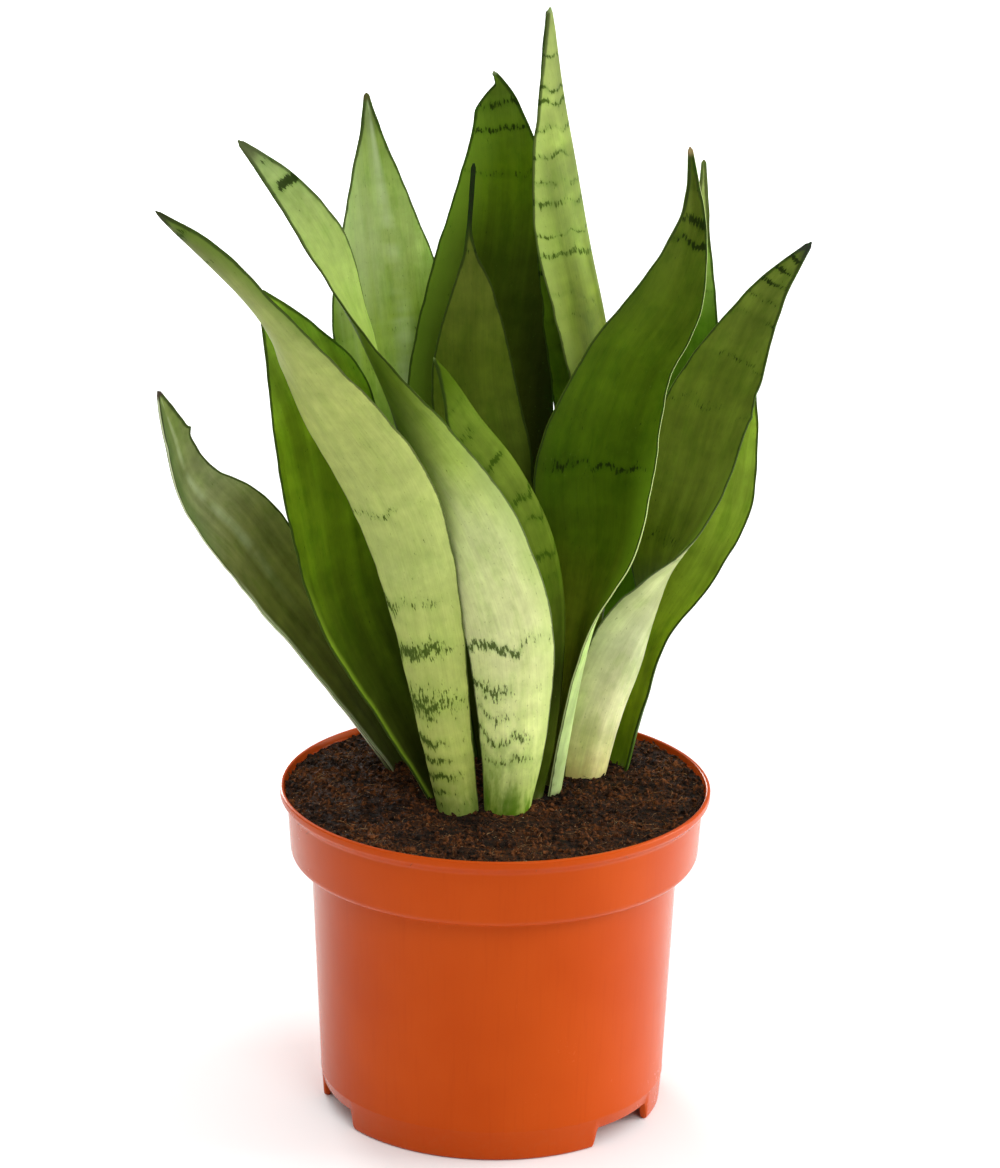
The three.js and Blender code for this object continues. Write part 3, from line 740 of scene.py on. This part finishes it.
def leafMaterial(name, leaf, order, lengthMm):
    look = {**skin, **leaf}
    shine = {
        "IOR": 1.45, "Specular Tint": (0.85, 1.0, 0.45, 1.0), "Subsurface Weight": 0.1,
        "Subsurface Radius": (0.4, 1.0, 0.15), "Subsurface Scale": 0.0025,
    }
    material, tree, shader = newMaterial("leaf_skin_" + name, shine)
    blade = put(tree, "ShaderNodeUVMap", {}, uv_map="blade").outputs[0]
    shareMap = put(tree, "ShaderNodeUVMap", {}, uv_map="share").outputs[0]
    outer = put(tree, "ShaderNodeAttribute", {}, attribute_name="outerFace").outputs["Fac"]
    rim = put(tree, "ShaderNodeAttribute", {}, attribute_name="rimDistance").outputs["Fac"]
    sideShare, share = split(shareMap)[:2]
    side = fit(sideShare, 0, 1, -1, 1, "LINEAR")

    def byFace(inside, outside):
        return fit(outer, 0.3, 0.7, inside, outside)

    face = byFace(0, 1)
    acrossReal, alongReal = split(blade)[:2]
    coords = joined(acrossReal, alongReal, times(face, 0.7))  # a grain of its own for each face
    shift = (order * 3.7, order * 1.9, order * 5.3)

    def field(kind):
        across, lengthwise, detail, roughness = patterns[kind]
        return noise(scaled(coords, (across, lengthwise, 5), shift), 1.0, detail, roughness)

    grain, stripe, cloud, mottle = (field(kind) for kind in ("grain", "stripe", "cloud", "mottle"))

    warped = timesPlus(stripe, 0.1, minus(share, 0.05))
    faceTones = []
    for way in ("inner", "outer"):
        faceTones.append(ramp(warped, [(place, paint(shade)) for place, shade in leaf[way]]))
    tone = mixed(face, *faceTones)
    veils = ((stripe, look["streaks"]), (cloud, look["clouds"]), (mottle, 0.07), (grain, 0.05))
    for veil, amount in veils:
        tone = shaded(tone, veil, amount)
    blotch = fit(field("blotch"), 0.46, 0.66, 0, look["blotches"])
    tone = mixed(blotch, tone, skin["blotch"], "MULTIPLY")
    if "sheen" in leaf:
        sheen = fit(field("sheen"), 0.5, 0.72, 0, leaf["sheen"])
        tone = mixed(sheen, tone, paint(skin["sheen"]))
    # A painted sheen: a pale streak along the midrib in the sheen's tone
    if "midrib" in leaf:
        place, width, amount, start = leaf["midrib"]
        away = sums("ABSOLUTE", minus(side, place))
        ribSheen = times(fit(away, width, 0, 0, amount), fit(cloud, 0.3, 0.6))
        tone = mixed(times(ribSheen, fit(share, start, start + 0.25)), tone, paint(skin["sheen"]))

    # The blade's foot
    tintPlace, tintSpread, tintTone, tintAmount = look["tint"]
    low = fit(timesPlus(mottle, 0.08, share), tintPlace + tintSpread + 0.04, tintPlace, 0, tintAmount)
    low = times(low, fit(field("foot"), 0.38, 0.56))
    tone = mixed(low, tone, paint(tintTone))

    # Lighter or darker strips along a margin, many of them painted light and painted shade
    for way, edgeSide, width, shade, amount, low, high in leaf.get("lightShadeStrips", []):
        near = fit(timesPlus(stripe, width * 0.5, rim), width * 1.25, width * 0.25, 0, amount)
        near = times(near, fit(times(side, edgeSide), -0.05, 0.15))
        near = times(near, fit(share, low - 0.06, low + 0.06), fit(share, high + 0.08, high - 0.08))
        onFace = byFace(0, 1) if way == "outer" else byFace(1, 0)
        tone = mixed(times(near, onFace), tone, paint(shade))

    # Crossbands
    wave = skin["bandWave"] / lengthMm
    place = plus(share, fit(field("bandWave"), 0.2, 0.8, -wave, wave, "LINEAR"))
    if "bandSlope" in leaf:
        lean = times(minus(side, 0.5), leaf["bandSlope"])
        place = minus(place, times(lean, fit(share, 0.6, 0.95, 1.0, 0.15, "LINEAR")))
    band = bandMask(place, leaf.get("bands", []))
    if leaf["slot"] != "leaf_silver_green":
        band = timesPlus(bandMask(place, outerBands(order)), face, band)
    cover = timesPlus(side, leaf.get("bandLean", 0.0), field("bandCover"))
    band = times(band, fit(cover, 0.3, 0.6, 0.25, 1.1))
    dash = fit(timesPlus(band, 0.3, field("dash")), 0.66, 0.80)
    tone = mixed(times(band, 0.55), tone, skin["bandShade"], "MULTIPLY")
    dashTone = mixed(face, paint(skin["dash"]["inner"]), paint(skin["dash"]["outer"]))
    tone = mixed(times(dash, 0.86), tone, dashTone)
    flecks = fit(field("fleck"), 0.71, 0.78, 0, 0.35)
    tone = mixed(flecks, tone, paint(skin["fleck"]))

    # Margin, rim and dry tip
    line = timesPlus(mottle, 0.7, minus(rim, 0.35))
    line = sums("DIVIDE", line, fit(share, 0.7, 1.0, 1.0, 3.0))  # broader towards the tip
    line = fit(line, skin["marginWidth"], 0.1, 0, 0.8)
    tone = mixed(line, tone, paint(skin["margin"]))
    edge = fit(sums("ABSOLUTE", minus(outer, 0.5)), 0.32, 0.18, 0, 0.85)
    left, right = (paint(shade) for shade in look["rims"])
    tone = mixed(edge, tone, mixed(sums("GREATER_THAN", side, 0), left, right))
    tipLength, tipTone = leaf["dry"]
    dry = fit(timesPlus(mottle, 0.03, share), 1.012 - tipLength, 1.02 - tipLength * 0.6, 0, 0.92)
    tone = mixed(dry, tone, paint(tipTone))

    gloss = fit(mottle, 0.3, 0.7, 0.44, 0.56, "LINEAR")
    rough = feed("ShaderNodeMix", {0: dry, 2: gloss, 3: 0.75}, data_type="FLOAT")
    matt = times(timesPlus(edge, -1.15, 1.0), timesPlus(dash, -0.7, 1.0))  # rims and dashes shine less
    plug(shader.inputs["Specular IOR Level"], times(byFace(0.035, look["wax"]), matt))
    relief = timesPlus(grain, 0.3, times(mottle, 0.35))
    relief = timesPlus(stripe, byFace(1.6, 0.6), relief)
    dress(shader, tone, rough, relief, 0.35, 0.0003)
    return material


for order, (leafName, leaf) in enumerate(leaves.items()):
    makeBlade(leafName, leaf, order)
print("thirteen blades made")


# Geometry trees

def newTree(name, values):
    tree = bpy.data.node_groups.new(name, "GeometryNodeTree")
    tree.is_modifier = True
    for way in ("INPUT", "OUTPUT"):
        tree.interface.new_socket("Geometry", in_out=way, socket_type="NodeSocketGeometry")
    kinds = {int: "NodeSocketInt", float: "NodeSocketFloat"}
    for label, value in values.items():
        kind = kinds.get(type(value), "NodeSocketMaterial")
        tree.interface.new_socket(label, in_out="INPUT", socket_type=kind)
    return tree, tree.nodes.new("NodeGroupInput").outputs


def ended(given, body):
    single = feed("GeometryNodeRealizeInstances", {0: body})
    dressed = feed("GeometryNodeSetMaterial", {0: single, "Material": given["Material"]})
    tree = body.id_data
    plug(tree.nodes.new("NodeGroupOutput").inputs[0], dressed)
    return tree


# Makes a tree for these values, runs it on a base object and returns what it grows as a plain mesh
def grown(base, makeTree, values):
    tree = makeTree(values)
    modifier = base.modifiers.new(tree.name, "NODES")
    modifier.node_group = tree
    for item in tree.interface.items_tree:
        if item.in_out == "INPUT" and item.name in values:
            modifier[item.identifier] = values[item.name]
    graph = bpy.context.evaluated_depsgraph_get()
    mesh = bpy.data.meshes.new_from_object(base.evaluated_get(graph), depsgraph=graph)
    base.modifiers.remove(modifier)
    return mesh


def position(tree):
    return put(tree, "GeometryNodeInputPosition", {}).outputs[0]


def moved(body, **where):
    return feed("GeometryNodeSetPosition", {"Geometry": body, **where})


def resized(vector, size):
    return feed("ShaderNodeVectorMath", {0: vector, 3: size}, operation="SCALE")


# Turns the base mesh's points, a profile in the XZ plane, round Z into a closed body
def addTurning(profile, sides):
    tree = profile.id_data
    count = feed("GeometryNodeAttributeDomainSize", {0: profile}, component="MESH")
    ring = plus(sides, 1)
    sheet = feed("GeometryNodeMeshGrid", {"Vertices X": count, "Vertices Y": ring})
    index = put(tree, "GeometryNodeInputIndex", {}).outputs[0]
    row = sums("FLOOR", sums("DIVIDE", plus(index, 0.5), ring))
    column = minus(index, times(row, ring))
    angle = times(sums("DIVIDE", column, sides), 2 * math.pi)
    sampled = {"Geometry": profile, "Value": position(tree), "Index": row}
    corner = split(feed("GeometryNodeSampleIndex", sampled, data_type="FLOAT_VECTOR"))
    x = times(corner[0], sums("SINE", angle))
    y = times(corner[0], times(sums("COSINE", angle), -1))
    there = joined(x, y, corner[2])
    welding = {"Geometry": moved(sheet, Position=there), "Distance": 0.02 * mm}
    return feed("GeometryNodeFlipFaces", {0: feed("GeometryNodeMergeByDistance", welding)})


# A profile's corners, (radius, height, rounding) in mm, as points with each corner rounded off
def roundedProfile(corners, steps=6):
    points = []
    for i, (x, z, rounding) in enumerate(corners):
        here = Vector((x, z))
        if not rounding:
            points.append(here)
            continue
        back = (Vector(corners[i - 1][:2]) - here).normalized()
        ahead = (Vector(corners[i + 1][:2]) - here).normalized()
        half = back.angle(ahead) / 2
        centre = here + (back + ahead).normalized() * rounding / math.sin(half)
        first = here + back * rounding / math.tan(half) - centre
        sweep = first.angle_signed(here + ahead * rounding / math.tan(half) - centre)
        for step in range(steps + 1):
            points.append(centre + first @ Matrix.Rotation(sweep * step / steps, 2))
    return points


def profileObject(points):
    mesh = bpy.data.meshes.new("profile")
    edges = [(i, i + 1) for i in range(len(points) - 1)]
    mesh.from_pydata([(p[0] * mm, 0, p[1] * mm) for p in points], edges, [])
    return newObject("profile", mesh)


# The pot, turned from one profile. Three arches open its skirt, and drain holes its floor.
potForm = {
    "inputs": {
        "Sides": 720,
        "Arch Turn": math.radians(51.7),  # from the viewer's side towards +X
        "Arch Half Width": 11.3 * mm,
        "Arch Height": 5.4 * mm,
        "Arch Flank": 1.9 * mm,  # the flank's run, with its rounding
        "Drain Ring": 31 * mm,
        "Drain Radius": 4 * mm,
    },
    "arches": 3,
    "footTop": 8.3,  # below this the wall is drawn up over an arch, mm
    "skirtRadius": 46.3,  # between the skirt's inside and outside
    "skirtFrom": 44,  # nothing nearer the axis is drawn up
    "floorUnder": 6.2,
    "drillSides": 48,
    "drillDepth": 6,
    "drillLevel": 7,
    "corners": [
        (0, 6.2, 0), (45.8, 6.2, 1.2), (45.8, 0, 0.5), (47.6, 0, 1.0),
        (48.29, 8.4, 0), (48.44, 8.8, 0.2), (48.44, 9.2, 0.2), (48.38, 9.6, 0),
        (51.2, 72.5, 0.7), (56.8, 72.5, 2.8), (57.9, 88.8, 2.0), (60, 90.9, 1.3), (60, 93, 0.6),
        (58.9, 93, 0.35), (58.5, 91.2, 0.6), (56.7, 89.2, 0.8), (55.6, 73.7, 2.2), (50.0, 73.7, 0.6),
        (47.0, 7.6, 2.2), (0, 7.6, 0),
    ],
}


def potTree(values):
    form = potForm
    tree, given = newTree("turned_pot", values)
    body = addTurning(given["Geometry"], given["Sides"])
    x, y, z = split(position(tree))
    radius = feed("ShaderNodeVectorMath", {0: joined(x, y)}, 1, operation="LENGTH")

    # How far the skirt's lower edge is lifted, from the way round to the nearest arch
    angle = sums("ARCTAN2", x, times(y, -1))
    halfTurn = math.pi / form["arches"]
    away = sums("WRAP", minus(angle, given["Arch Turn"]), halfTurn, -halfTurn)
    run = times(sums("ABSOLUTE", away), form["skirtRadius"] * mm)
    outside = timesPlus(given["Arch Flank"], 0.5, given["Arch Half Width"])
    inside = timesPlus(given["Arch Flank"], -0.5, given["Arch Half Width"])
    lift = fit(run, outside, inside, 0.0, given["Arch Height"])
    isOutside = sums("GREATER_THAN", radius, form["skirtRadius"] * mm)
    topInside, topOutside = (form["floorUnder"] - 0.1) * mm, form["footTop"] * mm
    top = timesPlus(isOutside, topOutside - topInside, topInside)
    kept = minus(1.0, sums("DIVIDE", lift, top))
    there = joined(x, y, timesPlus(z, kept, lift))
    isSkirt = times(sums("LESS_THAN", z, top), sums("GREATER_THAN", radius, form["skirtFrom"] * mm))
    body = moved(body, Selection=isSkirt, Position=there)

    # Drain holes: six round the floor and one in its middle
    ring = feed("GeometryNodeMeshCircle", {"Vertices": 6, "Radius": given["Drain Ring"]})
    spots = put(tree, "GeometryNodeJoinGeometry", {0: ring})
    plug(spots.inputs[0], put(tree, "GeometryNodeMeshLine", {"Count": 1}).outputs[0])
    drill = feed("GeometryNodeMeshCylinder", {
        "Vertices": form["drillSides"], "Radius": given["Drain Radius"], "Depth": form["drillDepth"] * mm,
    })
    lifted = {"Geometry": drill, "Translation": (0, 0, form["drillLevel"] * mm)}
    drill = feed("GeometryNodeTransform", lifted)
    drills = feed("GeometryNodeInstanceOnPoints", {"Points": spots.outputs[0], "Instance": drill})
    drills = feed("GeometryNodeRealizeInstances", {0: drills})
    holed = feed("GeometryNodeMeshBoolean", {0: body, 1: drills}, operation="DIFFERENCE", solver="MANIFOLD")
    return ended(given, holed)


def potMaterial():
    shine = {
        "IOR": 1.5, "Specular IOR Level": 0.26, "Specular Tint": (1.0, 0.45, 0.2, 1.0),
        "Subsurface Weight": 0.05, "Subsurface Radius": (1.0, 0.35, 0.12), "Subsurface Scale": 0.002,
    }
    material, tree, shader = newMaterial("pot_orange_plastic", shine)
    coords = put(tree, "ShaderNodeTexCoord", {}).outputs["Object"]
    cloud = noise(coords, 28)
    flow = noise(scaled(coords, (900, 900, 22)), 1.0, 3)  # faint upright lines from moulding
    dust = noise(coords, 520, 5, 0.7)
    tone = mixed(fit(cloud, 0.3, 0.7), paint("b9440c"), paint("c04a10"))
    tone = mixed(fit(flow, 0.5, 0.8, 0, 0.18), tone, paint("a83a08"))
    soiled = times(fit(split(coords)[2], 16 * mm, 0.0, 0, 0.3), fit(dust, 0.45, 0.75))
    tone = mixed(soiled, tone, paint("b4552c"))
    rough = timesPlus(fit(dust, 0.3, 0.8), 0.02, fit(cloud, 0.3, 0.7, 0.21, 0.26))
    dress(shader, tone, rough, timesPlus(flow, 0.3, cloud), 0.1, 0.0001)
    return material


def makePot():
    base = profileObject(roundedProfile(potForm["corners"]))
    mesh = grown(base, potTree, {**potForm["inputs"], "Material": potMaterial()})
    bpy.data.objects.remove(base)
    mesh.shade_smooth()
    mesh.set_sharp_from_angle(angle=math.radians(40))
    fasten(newObject("pot_shell", mesh), "pot_plastic", "pot")


makePot()
print("pot made")


# The soil: a domed bed of peat with lumps, crumbs, fibres and pale grains on top
soilForm = {
    "sides": 420,
    "rings": 110,
    "edge": 91.3,  # level at the pot's wall, mm
    "edgeRadius": 58.2,
    "crown": 1.5,
    "lumps": 2.2,
    "lumpScale": 190,
    "grit": 1.0,
    "gritScale": 640,
    "crumbShapes": 4,
    "strewnDepth": 1.2,  # litter lies on all that is higher than this below the edge's level
    "fibreCurl": 1.8,
    "fibreCurlScale": 420.0,
    "wall": [
        (0, 7.95), (44.4, 7.95), (46.4, 10.2), (49.4, 73.6), (50.2, 74.1), (53.4, 74.1),
        (55.2, 76.3), (56.3, 88.9),
    ],
}


def soilTree(values):
    tree, given = newTree("soil_bed", values)
    body = addTurning(given["Geometry"], given["Sides"])
    place = position(tree)
    lumps = minus(noise(place, soilForm["lumpScale"]), 0.5)
    grit = minus(noise(place, soilForm["gritScale"], 3, 0.65), 0.5)
    rise = timesPlus(lumps, given["Lumps"], times(grit, given["Grit"]))
    isTop = sums("GREATER_THAN", split(place)[2], minus(given["Edge Level"], 0.1 * mm))
    return ended(given, moved(body, Selection=isTop, Offset=joined(z=rise)))


# Points strewn over the top of the bed
def strewn(given):
    bed = given["Geometry"]
    low = (soilForm["edge"] - soilForm["strewnDepth"]) * mm
    isTop = sums("GREATER_THAN", split(position(bed.id_data))[2], low)
    inputs = {"Mesh": bed, "Selection": isTop, "Density": given["Density"], "Seed": given["Seed"]}
    return feed("GeometryNodeDistributePointsOnFaces", inputs)


def randomFloat(low, high, seed):
    return feed("FunctionNodeRandomValue", {2: low, 3: high, "Seed": seed}, 1, data_type="FLOAT")


def randomVector(low, high, seed):
    return feed("FunctionNodeRandomValue", {0: low, 1: high, "Seed": seed}, data_type="FLOAT_VECTOR")


def crumbTree(values):
    tree, given = newTree("crumbs", values)
    shapes = put(tree, "GeometryNodeJoinGeometry", {})
    for k in range(soilForm["crumbShapes"]):
        ball = put(tree, "GeometryNodeMeshIcoSphere", {"Radius": 1.0, "Subdivisions": 1}).outputs[0]
        place = position(tree)
        shifted = feed("ShaderNodeVectorMath", {0: place, 1: (k * 4.0, 1.5, 0.3)}, operation="ADD")
        dent = fit(noise(shifted, 1.3, 1), 0.3, 0.7, 0.45, 1.3, "LINEAR")
        crumb = moved(ball, Position=resized(place, dent))
        plug(shapes.inputs[0], feed("GeometryNodeGeometryToInstance", {0: crumb}))
    seed = given["Seed"]
    size = sums("POWER", randomFloat(0.0, 1.0, seed), 2.2)
    size = fit(size, 0, 1, given["Smallest"], given["Largest"], "LINEAR")
    squash = randomVector((0.6, 0.6, 0.45), (1.3, 1.1, 0.9), plus(seed, 1))
    full = 2 * math.pi
    return ended(given, feed("GeometryNodeInstanceOnPoints", {
        "Points": strewn(given), "Instance": shapes.outputs[0], "Pick Instance": True,
        "Rotation": randomVector((0, 0, 0), (full, full, full), plus(seed, 2)),
        "Scale": resized(squash, size),
    }))


def fibreTree(values):
    tree, given = newTree("fibres", values)
    strand = put(tree, "GeometryNodeCurveQuadraticBezier", {
        "Resolution": 6, "Start": (-0.5, 0, 0), "Middle": (0, 0.16, 0.12), "End": (0.5, 0, 0.02),
    }).outputs[0]
    seed = given["Seed"]
    laid = feed("GeometryNodeInstanceOnPoints", {
        "Points": strewn(given), "Instance": strand,
        "Rotation": randomVector((-0.5, -0.35, 0), (0.5, 0.35, 2 * math.pi), plus(seed, 1)),
        "Scale": resized((1, 1, 1), times(randomFloat(0.4, 1.5, seed), given["Length"])),
    })
    loose = feed("GeometryNodeRealizeInstances", {0: laid})
    waves = {"Vector": position(tree), "Scale": soilForm["fibreCurlScale"], "Detail": 1.0}
    curl = feed("ShaderNodeTexNoise", waves, 1)
    curl = feed("ShaderNodeVectorMath", {0: curl, 1: (0.5, 0.5, 0.4)}, operation="SUBTRACT")
    loose = moved(loose, Offset=resized(curl, soilForm["fibreCurl"] * mm))
    ring = feed("GeometryNodeCurvePrimitiveCircle", {"Resolution": 3, "Radius": given["Thickness"]})
    tubes = {"Curve": loose, "Profile Curve": ring, "Fill Caps": True}
    return ended(given, feed("GeometryNodeCurveToMesh", tubes))


# What lies on the bed: its tree, its tones and its tree's inputs
litter = {
    "soil_crumbs": (crumbTree, "crumb", {
        "Density": 560000.0, "Smallest": 0.35 * mm, "Largest": 1.5 * mm, "Seed": 3,
    }),
    "soil_grains": (crumbTree, "crumb", {
        "Density": 820000.0, "Smallest": 0.2 * mm, "Largest": 0.5 * mm, "Seed": 11,
    }),
    "soil_specks": (crumbTree, "speck", {
        "Density": 80000.0, "Smallest": 0.1 * mm, "Largest": 0.26 * mm, "Seed": 23,
    }),
    "soil_fibres": (fibreTree, "fibre", {
        "Density": 60000.0, "Length": 4.2 * mm, "Thickness": 0.06 * mm, "Seed": 31,
    }),
}

peatTones = {
    "bed": ("150c06", "2e1a0d", "452813"),
    "crumb": ("1d1109", "422510", "74431f"),
    "speck": ("8a6a48", "b59a74", "d8c8a4"),
    "fibre": ("4a2e1a", "7a5230", "a8845a"),
}


def peatMaterial(kind):
    material, tree, shader = newMaterial("peat_" + kind, {"IOR": 1.35, "Specular IOR Level": 0.3})
    coords = put(tree, "ShaderNodeTexCoord", {}).outputs["Object"]
    dark, middle, light = (paint(tone) for tone in peatTones[kind])
    fine = noise(coords, 2600, 3, 0.7)
    patch = fit(noise(coords, 75), 0.35, 0.65, -0.08, 0.1)
    tone = ramp(plus(noise(coords, 700), patch), [(0.36, dark), (0.52, middle), (0.68, light)])
    tone = mixed(fit(fine, 0.4, 0.7, 0, 0.6), tone, dark, "MULTIPLY")
    dress(shader, tone, fit(fine, 0.3, 0.7, 0.75, 1.0), fine, 0.6, 0.0004)
    return material


def makeSoil():
    form = soilForm
    top = [(form["edgeRadius"], form["edge"] - 0.4)]
    for ring in range(form["rings"] + 1):
        out = 1 - ring / form["rings"]
        top.append((form["edgeRadius"] * out, form["edge"] + form["crown"] * (1 - out**2)))
    base = profileObject(form["wall"] + top)
    mesh = grown(base, soilTree, {
        "Sides": form["sides"], "Edge Level": form["edge"] * mm, "Lumps": form["lumps"] * mm,
        "Grit": form["grit"] * mm, "Material": peatMaterial("bed"),
    })
    bpy.data.objects.remove(base)
    mesh.shade_smooth()
    bed = newObject("soil_bed", mesh)
    materials = {kind: peatMaterial(kind) for kind in ("crumb", "speck", "fibre")}
    for name, (makeTree, kind, inputs) in litter.items():
        loose = grown(bed, makeTree, {**inputs, "Material": materials[kind]})
        fasten(newObject(name, loose), "potting_soil")
    fasten(bed, "potting_soil", "soil")


makeSoil()
print("soil made")


# A pale studio: a white floor, a sky that is bright overhead and dim near the horizon, and soft lamps
studio = {
    "floorTone": (0.93, 0.93, 0.93, 1.0),
    "floorReach": 9.0,
    "skyLow": 0.14,
    "skyHigh": 1.38,
    "skyRise": (0.3, 0.8),  # sines of the elevations between which the sky brightens
    "lamps": {
        "side_right": {"place": (1.25, 0.15, 0.36), "aim": (0, 0, 0.1), "size": (0.8, 0.7), "watts": 13.5},
        "key_front": {"place": (0.7, -1.6, 1.5), "aim": (0, 0, 0.15), "size": (0.8, 0.8), "watts": 10},
        "side_left": {"place": (-0.6, 1.5, 0.35), "aim": (0, 0, 0.1), "size": (0.6, 0.7), "watts": 19},
    },
}


def makeSky():
    world = bpy.data.worlds.new("studio_sky")
    scene.world = world
    world.use_nodes = True
    tree = world.node_tree
    direction = put(tree, "ShaderNodeTexCoord", {}).outputs["Generated"]
    low, high = studio["skyRise"]
    background = tree.nodes["Background"]
    background.inputs[0].default_value = (1.0, 1.0, 1.0, 1.0)
    plug(background.inputs[1], fit(split(direction)[2], low, high, studio["skyLow"], studio["skyHigh"]))


def makeStudio():
    r = studio["floorReach"]
    mesh = bpy.data.meshes.new("studio_floor")
    mesh.from_pydata([(-r, -r, 0), (r, -r, 0), (r, r, 0), (-r, r, 0)], [], [(0, 1, 2, 3)])
    floor = newObject("studio_floor", mesh)
    paper = newMaterial("studio_paper", {"Base Color": studio["floorTone"], "Roughness": 0.9})[0]
    mesh.materials.append(paper)
    for name, look in studio["lamps"].items():
        data = bpy.data.lights.new(name, "AREA")
        data.shape = "RECTANGLE"
        data.size, data.size_y = look["size"]
        data.energy = look["watts"]
        lamp = newObject(name, data)
        lamp.location = look["place"]
        lamp.rotation_euler = (Vector(look["aim"]) - lamp.location).to_track_quat("-Z", "Y").to_euler()
    scene.view_settings.view_transform = "Standard"


makeSky()
makeStudio()
print("studio lit")
